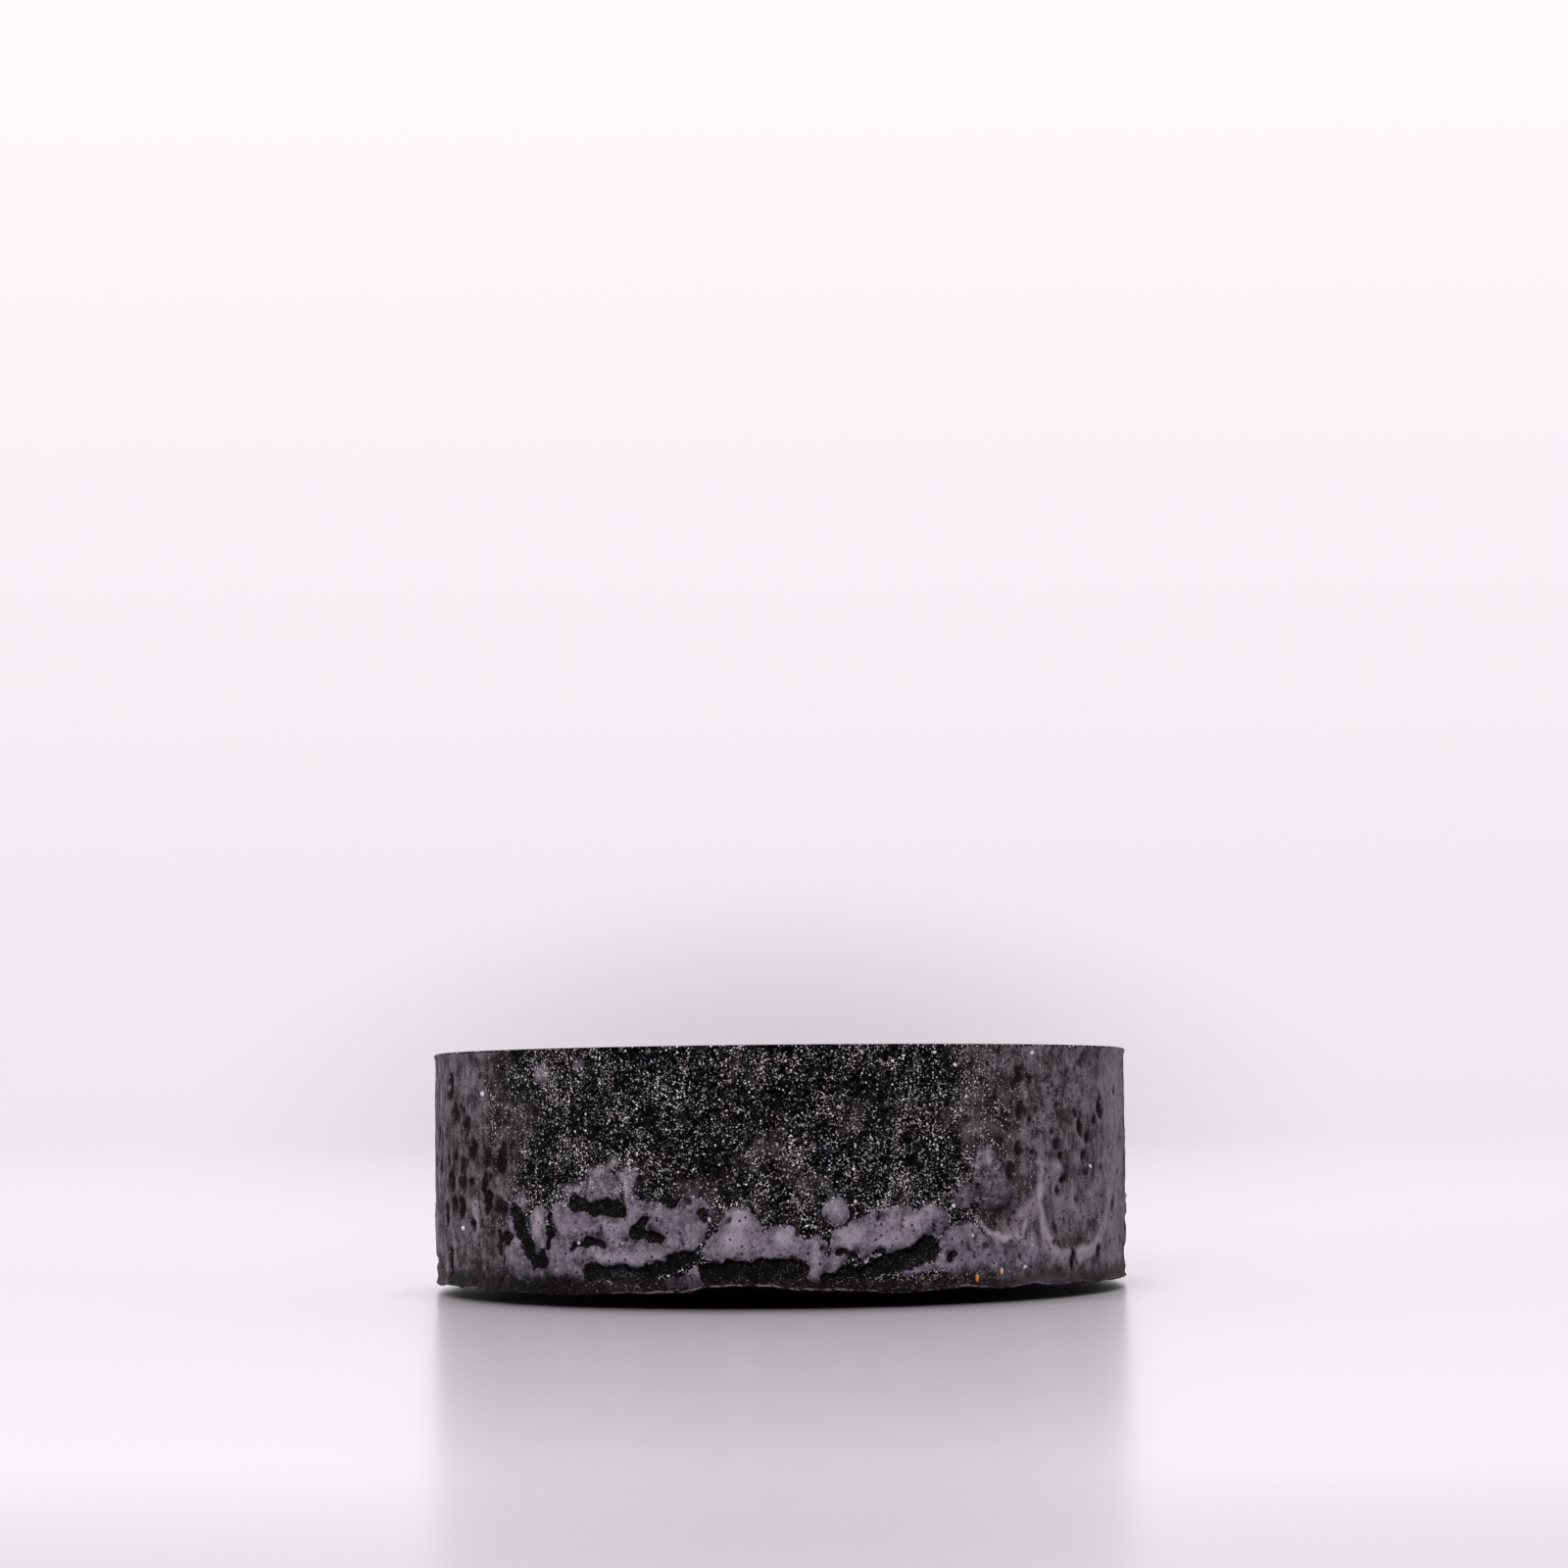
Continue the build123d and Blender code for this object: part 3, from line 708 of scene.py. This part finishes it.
# %% Where each finish is
OUTLINES = {  # finish: its field, its noise, how far the noise moves the outline, and the soft step
    "hollow": ("hollow", "hollow edge", 0.45, -0.06, 0.08),
    "pit": ("pit", "pit edge", 1.5, -0.30, 0.26),
    "satin": ("satin", "satin edge", 14.0, -7.5, 4.0),
    "strip": ("height", "strip edge", 2.5, 2.2, 0.7),
}
here = {}
for finish, (name, edge_noise, reach, start, end) in OUTLINES.items():
    wandering = add(TIMES_PLUS, [noise[edge_noise], reach, field[name]])
    here[finish] = add(SMOOTH, [wandering, start + reach / 2, end + reach / 2])
centred = add(MINUS, [noise["skin edge"], 0.5])
skin_field = add(TIMES_PLUS, [centred, field["fray"], field["skin"]])
here["skin"] = add(SMOOTH, [skin_field, -0.07, 0.09])
near_skin = add(SMOOTH, [skin_field, -2.2, 0.4])
# painted highlight, paler well inside each skin's outline
skin_middle_highlight = add(SMOOTH, [skin_field, 0.2, 1.3, 0.0, 0.25])
top_face = add(OVER, [field["face"], 0.8])
here["satin"] = add(LARGER, [here["satin"], top_face])
# lighter tones: dust and wear, and painted highlights on lobe tops and rims
dust_and_highlight_breakup = add(SMOOTH, [noise["tone patches"], 0.22, 0.52])
lighter = add(TIMES, [field["lighter"], dust_and_highlight_breakup])
# darker tones: dust and wear, and painted shade in a crease and a drain
wear_and_shade_breakup = add(SMOOTH, [noise["tone patches"], 0.75, 0.40])
darker = add(TIMES, [field["darker"], wear_and_shade_breakup])
print("rubber:", len(here), "finishes")

# %% [markdown]
# The specks are painted glints. Three patterns make them: blobs from a fine noise, short curls where another
# noise passes through its middle value, and a few bright points from Voronoi cells. A slow noise gathers them
# into clouds with dark wells between. The blobs are 0.18 mm across, about as fine as the picture shows.

# %% Specks
sideways = add("SeparateXYZ", [where])
more_glints_to_right = add(SMOOTH, [sideways, 0.002, 0.016, 0.0, 0.022])  # more of the painted glints towards the right
clouds = add(TIMES_PLUS, [noise["speck clouds"], 0.36, -0.18])
clouds = add(PLUS, [clouds, more_glints_to_right])
blob_field = add(PLUS, [noise["blobs"], clouds])
blob_field = add(TIMES_PLUS, [near_skin, 0.03, blob_field])
blobs = add("MapRange", [blob_field, 0.620, 0.715])
blobs = add("Math", [blobs, 1.1], operation="POWER")
curl_field = add(MINUS, [noise["curls"], 0.5])
curl_field = add("Math", [curl_field], operation="ABSOLUTE")
curls = add(SMOOTH, [curl_field, 0.030, 0.004, 0.0, 0.45])
curl_patches = add(PLUS, [noise["curl patches"], clouds])
curl_patches = add(SMOOTH, [curl_patches, 0.52, 0.66])
curls = add(TIMES, [curls, curl_patches])
speck = add(LARGER, [blobs, curls])
speck = add(TIMES, [speck, noise["dark wells"]])
distance = add("TexVoronoi", {"Vector": where, "Scale": per_metre(0.38)}, out="Distance")
pick = add("SeparateColor", [distance.node.outputs["Color"]])
bright = add(OVER, [pick, 0.85])
points_lit = add(SMOOTH, [distance, 0.31, 0.19])
points_lit = add(TIMES, [points_lit, bright])
speck = add(LARGER, [speck, points_lit])

# %% [markdown]
# Specks need open, rough ground, so hollows, pits, satin zones and dark marks take most of them away, and the
# two faces have none.

# %% Where the specks are lost
in_strip = add(TIMES, [here["strip"], 0.84])
in_hollow = add(TIMES, [here["hollow"], 0.90])
in_hollow = add(LARGER, [in_hollow, in_strip])
for mask, lost in ((in_hollow, 1.0), (here["pit"], 0.92), (here["satin"], 0.70), (darker, 0.85)):
    kept = add(TIMES_PLUS, [mask, -lost, 1.0])
    speck = add(TIMES, [speck, kept])
off_faces = add("Math", [field["face"]], operation="ABSOLUTE")
off_faces = add(OVER, [0.8, off_faces])
speck = add(TIMES, [speck, off_faces])
covered = add(TIMES, [here["skin"], field["cover"]])
uncovered = add(MINUS, [1.0, covered])
# share of the painted glints on the surface
glint_share = add(TIMES, [speck, uncovered])

# %% [markdown]
# The ground is black with a faint brown or blue haze. A skin is grey, mottled by its dust, bluish in patches,
# and well inside its outline it carries a paler painted highlight. A satin zone is browner, with grey patches
# and upright streaks from the mould, so its noise is stretched five times along the axis; at the left and right
# ends of the front that grey is partly a painted reflection of the bright backdrop. Pores are small dark cells
# in both.

# %% Colours of the ground, the skins and the satin zones
haze = add(TIMES_PLUS, [near_skin, 0.65, 0.35])
haze = add(TIMES, [haze, noise["haze"]])
tinge = add(MIX, {0: noise["tinge"], 6: linear("2b2123"), 7: linear("23262d")})
ground = add(MIX, {0: haze, 6: linear("020202"), 7: tinge})
upright = add("Mapping", {"Vector": where, "Scale": (1.0, 1.0, 0.2)})
streaks = add("TexNoise", {"Vector": upright, "Scale": per_metre(0.8), "Detail": 4, "Roughness": 0.6})
# the grey patches of a satin zone, partly a painted reflection of the bright backdrop
patches = add(TIMES, [noise["satin patches"], 0.72])
patches = add(TIMES_PLUS, [streaks, 0.28, patches])
patches = add(SMOOTH, [patches, 0.40, 0.62])
plain_top = add(TIMES, [top_face, 0.80])
SKIN_TONES = ((noise["skin mottle"], "938c9a"), (noise["blue patches"], "4d4c58"), (skin_middle_highlight, "aea7b2"),
              (noise["fine mottle"], "2a272d"))
SATIN_AND_SHEEN_TONES = ((patches, "7b747b"), (plain_top, "353135"))
colour = {"skin": linear("3f3d45"), "satin": linear("2a2529")}
for finish, toning in (("skin", SKIN_TONES), ("satin", SATIN_AND_SHEEN_TONES)):
    for share, code in toning:
        colour[finish] = add(MIX, {0: share, 6: colour[finish], 7: linear(code)})
pore_distance = add("TexVoronoi", {"Vector": where, "Scale": per_metre(0.56)}, out="Distance")
pore_pick = add("SeparateColor", [pore_distance.node.outputs["Color"]])
pore = add(SMOOTH, [pore_distance, 0.33, 0.22])
open_pore = add(OVER, [pore_pick, 0.55])
pore = add(TIMES, [pore, open_pore])
pore_depth = add(SMOOTH, [pore_pick.node.outputs["Green"], 0.1, 0.6])
pore = add(TIMES, [pore, pore_depth])

# %% [markdown]
# The finishes lie over each other like coats: satin zones on the ground, skins on both, then dust and painted
# highlights, pores, the dark strip, hollows and painted shade, the specks that are painted glints, then the
# painted shade below the flash line, and last the flash's edge, which is paler in places.

# %% Coats
smooth_ground = add(LARGER, [here["skin"], here["satin"]])
pore_share = add(TIMES, [pore, smooth_ground])
# the darker tones, partly painted shade, join the pits and hollows
dark = add(TIMES, [darker, 0.90])
for mask in (here["pit"], here["hollow"]):
    dark = add(LARGER, [dark, mask])
lightness = pick.node.outputs["Green"]
# painted glints: pale to white speck colour standing in for light caught by broken filler and pinholes
glint_colour = add(MIX, {0: lightness, 6: linear("b4acb8"), 7: linear("ffffff")})
# painted shade: black on the lip's underside and on the wall below the flash line
shade_under_flash = add(SMOOTH, [field["edge"], -0.10, -0.30])
# a paler line along the flash's edge
flash_edge = add("Math", [field["edge"]], operation="ABSOLUTE")
flash_edge = add(SMOOTH, [flash_edge, 0.10, 0.02])
flash_edge = add(TIMES, [flash_edge, noise["flash breaks"]])
COATS = (  # where it is, how much of it covers, and its colour
    (here["satin"], 1.0, colour["satin"]),
    (here["skin"], 1.0, colour["skin"]),
    # lighter tones: dust and wear, and painted highlights
    (lighter, 0.85, linear("b1aab4")),
    (pore_share, 0.9, linear("0e0c0f")),
    (here["strip"], 0.80, linear("1a1415")),
    (dark, 0.94, linear("110f11")),
    (glint_share, 1.0, glint_colour),
    (shade_under_flash, 1.0, linear("030203")),
    (flash_edge, 0.5, linear("a59da8")),
)
surface = ground
for mask, cover, coat in COATS:
    share = add(TIMES, [mask, cover])
    surface = add(MIX, {0: share, 6: surface, 7: coat})

# %% [markdown]
# Rubber reflects little and softly, and the filler breaks up what gloss there is, so the specular level is
# far below that of a smooth plastic. A bump lets the specks stand out a little and sinks the pores.
# Everything larger is in the mesh.

# %% Shader of the rubber
gloss = add(TIMES_PLUS, [noise["gloss"], 0.25, 0.425])
roughness = add(TIMES_PLUS, [speck, -0.20, gloss])
underside = add("Math", [field["face"], -0.5], operation="LESS_THAN")
for dull in (shade_under_flash, underside):
    roughness = add(LARGER, [roughness, dull])
grain = add(TIMES, [noise["grain"], 0.5])
grain = add(TIMES_PLUS, [speck, 0.8, grain])
grain = add(TIMES_PLUS, [pore, -0.5, grain])
bump = add("Bump", {"Height": grain, "Strength": 0.4, "Distance": 0.05 * MM})
shader = add("BsdfPrincipled", {
    "Base Color": surface, "Roughness": roughness, "IOR": 1.52, "Specular IOR Level": 0.025, "Normal": bump,
})
add("OutputMaterial", {"Surface": shader})
puck.data.materials.append(rubber)
print("rubber:", len(rubber.node_tree.nodes), "nodes")

# %% [markdown]
# ## Mineral grit
#
# A few grains of mineral broke the surface of the wall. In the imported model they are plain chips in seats.
# Here each becomes a small broken crystal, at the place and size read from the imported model, so the two can't
# disagree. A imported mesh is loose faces, so its points are welded by place before its pieces are told apart.

# %% Pieces of a mesh
SAME_PLACE = 0.001 * MM


def islands(mesh, places):
    """Number of the connected piece each point of a mesh is in. Points at the same place are taken as one,
    and then the lowest number spreads along the edges until nothing changes."""
    _, welded = np.unique(np.round(places / SAME_PLACE).astype(int), axis=0, return_inverse=True)
    welded = welded.reshape(-1)
    ends = np.empty(2 * len(mesh.edges), int)
    mesh.edges.foreach_get("vertices", ends)
    a, b = welded[ends.reshape(-1, 2)].T
    piece = np.arange(welded.max() + 1)
    before = None
    while not np.array_equal(piece, before):
        before = piece.copy()
        np.minimum.at(piece, a, before[b])
        np.minimum.at(piece, b, before[a])
    return piece[welded]


# %% [markdown]
# A crystal starts as the regular ball of twelve corners and twenty faces. The corners lie on three golden
# rectangles, and any three that are one edge apart make a face. It is stretched and turned at random, so that
# its flat faces catch the light like those of a broken grain.

# %% Crystals in the places of the grains
golden = 1 + GOLDEN  # the golden ratio
corner = np.array([(a, b * golden, 0) for a in (-1, 1) for b in (-1, 1)], float)
corner = np.concatenate([corner, np.roll(corner, 1, 1), np.roll(corner, 2, 1)]) / np.hypot(1, golden)
length = np.linalg.norm(corner[:, None] - corner[None], axis=2)
i, j, k = np.indices((12, 12, 12)).reshape(3, -1)
touching = (length < 1.1) & (length > 0.1)  # an edge is 1.05 long on a ball of radius 1
each = (i < j) & (j < k) & touching[i, j] & touching[j, k] & touching[i, k]
ball = np.stack([i[each], j[each], k[each]], 1)
first, second, third = corner[ball].transpose(1, 0, 2)
turned_in = np.sum((first + second + third) * np.cross(second - first, third - first), axis=1) < 0
ball[turned_in] = ball[turned_in][:, ::-1]


def crystals(name, node, share, tall, proud, seed):
    """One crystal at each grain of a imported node: the ball, at a share of the grain's own height, stretched
    and turned at random, drawn out upwards, and moved until its outermost corner is proud of the wall."""
    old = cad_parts[node]
    places = np.empty(3 * len(old.data.vertices))
    old.data.vertices.foreach_get("co", places)
    places = places.reshape(-1, 3) @ np.array(old.matrix_world.to_3x3()).T
    places += np.array(old.matrix_world.translation)
    piece = islands(old.data, places)
    low_high = [(places[piece == p].min(0), places[piece == p].max(0)) for p in np.unique(piece)]
    middle = np.array([(low + high) / 2 for low, high in low_high])
    size = share * np.array([(high - low)[2] for low, high in low_high])
    dice = np.random.default_rng(seed)
    count = len(middle)
    outward = middle * (1, 1, 0)
    outward /= np.linalg.norm(outward, axis=1)[:, None]
    spin, _ = np.linalg.qr(dice.normal(size=(count, 3, 3)))
    spin *= np.sign(np.linalg.det(spin))[:, None, None]
    stretch = dice.uniform(0.65, 1.15, (count, 1, 3)) * size[:, None, None] / 2
    uneven = corner[None] * stretch * dice.uniform(0.85, 1.1, (count, 12, 1))
    chip = np.einsum("nij,nkj->nki", spin, uneven) * (1, 1, tall)
    reach = np.einsum("nki,ni->nk", chip, outward).max(1)
    h = middle[:, 2] / MM - RIM
    seat = (wall_radius(h) + proud) * MM - reach
    chip += (outward * seat[:, None] + middle * (0, 0, 1))[:, None]
    mesh = bpy.data.meshes.new(name)
    faces = (ball[None] + 12 * np.arange(count)[:, None, None]).reshape(-1, 3)
    mesh.from_pydata(chip.reshape(-1, 3), [], faces.tolist())
    tint = mesh.attributes.new("tint", "FLOAT", "POINT")
    tint.data.foreach_set("value", np.repeat(dice.uniform(0, 1, count), 12).astype(np.float32))
    made = bpy.data.objects.new(name, mesh)
    scene.collection.objects.link(made)
    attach(made, "root")
    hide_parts(node)
    print(name, count, "crystals,", f"{size.min() / MM:.2f} to {size.max() / MM:.2f} mm across")
    return made


# %% [markdown]
# The pale grains are taken to be broken quartz, clear with milky veins, and the two amber ones an
# iron-stained feldspar. Both break with smooth faces, so they are the glossiest spots on the wall.

# %% Minerals


def mineral(name, dull, clear, roughness, specular):
    """Broken mineral: two colours mixed by a noise and by the grain's own tint, with smooth broken faces."""
    material, add = new_material(name)
    where = add("TexCoord", out="Object")
    veins = add("TexNoise", {"Vector": where, "Scale": per_metre(0.15), "Detail": 3.0}, out="Fac")
    tint = add("Attribute", out="Fac", attribute_name="tint")
    share = add(TIMES, [veins, tint], use_clamp=True)
    colour = add(MIX, {0: share, 6: linear(dull), 7: linear(clear)})
    shader = add("BsdfPrincipled", {
        "Base Color": colour, "Roughness": roughness, "IOR": 1.54, "Specular IOR Level": specular,
    })
    add("OutputMaterial", {"Surface": shader})
    return material


SHARE, PROUD = 0.85, 0.08  # size of a crystal against its grain, and how far it stands out, in mm
pale = crystals("pale_crystals", "pale_grit", SHARE, 1.1, PROUD, 5)
pale.data.materials.append(mineral("broken_quartz", "c8c2c8", "ffffff", 0.25, 0.5))
amber = crystals("amber_crystals", "amber_grit", SHARE, 1.9, PROUD, 11)
amber.data.materials.append(mineral("broken_amber_feldspar", "c07a2c", "fff0d4", 0.20, 0.6))
print("minerals:", pale.data.materials[0].name, "and", amber.data.materials[0].name)

# %% [markdown]
# ## Table, backdrop and light
#
# The table is one smooth sheet that turns up at the back into a pale backdrop, as in a studio, so that no
# edge shows behind the puck. It is only the stage.

# %% Table and backdrop
CURVE_START, CURVE_RADIUS, BACK_HEIGHT = 380.0, 260.0, 1500.0  # of the curve and of what stands above it
WIDTH, NEAR = 2600.0, -900.0
angle = np.linspace(0, np.pi / 2, 24)
path_y = np.concatenate([np.linspace(NEAR, CURVE_START, 24), CURVE_START + CURVE_RADIUS * np.sin(angle[1:]),
                         np.full(6, CURVE_START + CURVE_RADIUS)])
path_z = np.concatenate([np.zeros(24), CURVE_RADIUS * (1 - np.cos(angle[1:])),
                         np.linspace(CURVE_RADIUS, BACK_HEIGHT, 7)[1:]])
path_x = np.linspace(-WIDTH / 2, WIDTH / 2, 9)
grid_x, grid_y = np.meshgrid(path_x, path_y)
grid_z = path_z[:, None] + table_height(grid_x, np.minimum(grid_y, CURVE_START))
stage_points = np.stack([grid_x, grid_y, grid_z], -1).reshape(-1, 3) * MM
across = len(path_x)
near_left = (np.arange(len(path_y) - 1)[:, None] * across + np.arange(across - 1)).ravel()
stage_faces = np.stack([near_left, near_left + 1, near_left + across + 1, near_left + across], 1)
stage_mesh = bpy.data.meshes.new("table")
stage_mesh.from_pydata(stage_points, [], stage_faces.tolist())
stage_mesh.shade_smooth()
table = bpy.data.objects.new("table", stage_mesh)
scene.collection.objects.link(table)
print("table:", len(stage_faces), "faces, curved up from", CURVE_START, "mm behind the puck")

# %% [markdown]
# The sheet is a white laminate with a satin varnish: matt white under a blurred reflection, mixed by a fixed
# share, because the camera looks along it. Its white carries painted light and shade: greyer in front of the
# puck, paler towards the backdrop, and darker in a band towards the camera. The backdrop glows a little, so
# that it stays pale and even, and a soft painted shade behind the puck keeps the wall's outline clear.

# %% White laminate
laminate, add = new_material("white_varnished_laminate")
where = add("TexCoord", out="Object")
level = add("SeparateXYZ", [where], out="Z")
away = level.node.outputs["Y"]
glow_share = add(SMOOTH, [level, 0.002, 0.015])
higher = add("MapRange", [level, 0.02, 0.34])
glow = add(MIX, {0: higher, 6: linear("efe8ef"), 7: linear("fefafd")})
squeezed = add("VectorMath", [where, (0.5, 0.0, 1.0)], operation="MULTIPLY")
behind = add("VectorMath", [squeezed, (0.0, 0.0, 0.020)], out="Value", operation="DISTANCE")
shade = add(SMOOTH, [behind, 0.073, 0.010, 0.0, 0.30])
glow = add(MIX, {0: shade, 6: glow, 7: linear("6d676d")})
# painted light: the laminate's white is greyer in front of the puck and paler towards the backdrop
far_off = add("MapRange", [away, 0.02, 0.50])
white = add(MIX, {0: far_off, 6: linear("c6c5c8"), 7: linear("ebe9ec")})
# painted shade: a darker band across the table towards the camera
near = add(SMOOTH, [away, -0.165, -0.222, 0.0, 0.65])
nearest = add(SMOOTH, [away, -0.36, -0.25])
near = add(TIMES, [near, nearest])
white = add(MIX, {0: near, 6: white, 7: linear("8c868c")})
varnish = add("BsdfGlossy", {"Color": (1.0, 1.0, 1.0, 1.0), "Roughness": 0.24})
paint = add("BsdfDiffuse", {"Color": white})
coated = add("MixShader", [0.60, paint, varnish])
glowing = add("Emission", {"Color": glow})
mixed = add("MixShader", [glow_share, coated, glowing])
add("OutputMaterial", {"Surface": mixed})
table.data.materials.append(laminate)
print("laminate:", len(laminate.node_tree.nodes), "nodes")

# %% [markdown]
# Most light comes from above and from the bright backdrop behind, and only a weak soft light reaches the
# front, which leaves the wall dark.

# %% Lamps and surroundings


def soft_light(name, place, aim, size, power, colour):
    """A square area light at a place, turned to face its aim. Places and sizes are in millimetres."""
    light = bpy.data.lights.new(name, "AREA")
    light.shape = "RECTANGLE"
    light.size, light.size_y = size[0] * MM, size[1] * MM
    light.energy = power
    light.color = linear(colour)[:3]
    lamp = bpy.data.objects.new(name, light)
    lamp.location = Vector(place) * MM
    lamp.rotation_euler = (Vector(aim) - Vector(place)).to_track_quat("-Z", "Y").to_euler()
    lamp.visible_glossy = False  # the lamps only fill; the mirrored light on the table is the backdrop's
    scene.collection.objects.link(lamp)


soft_light("overhead", (0, 60, 1150), (0, 0, 0), (420, 420), 11.0, "fff8ff")
soft_light("front", (-180, -800, 520), (0, 0, 12), (420, 360), 7.4, "fff6f8")
world = bpy.data.worlds.new("studio")
world.use_nodes = True
world.node_tree.nodes.clear()
add = partial(add_node, world.node_tree)
way = add("TexCoord", out="Generated")
towards = add("SeparateXYZ", [way], out="Y")
behind_puck = add(SMOOTH, [towards, -0.5, 0.5])
fill = add(MIX, {0: behind_puck, 6: linear("3a373a"), 7: linear("dcd6df")})
to_camera = add("LightPath", out="Is Camera Ray")
seen = add(MIX, {0: to_camera, 6: fill, 7: linear("efe9f0")})
background = add("Background", {"Color": seen})
add("OutputWorld", {"Surface": background})
scene.world = world
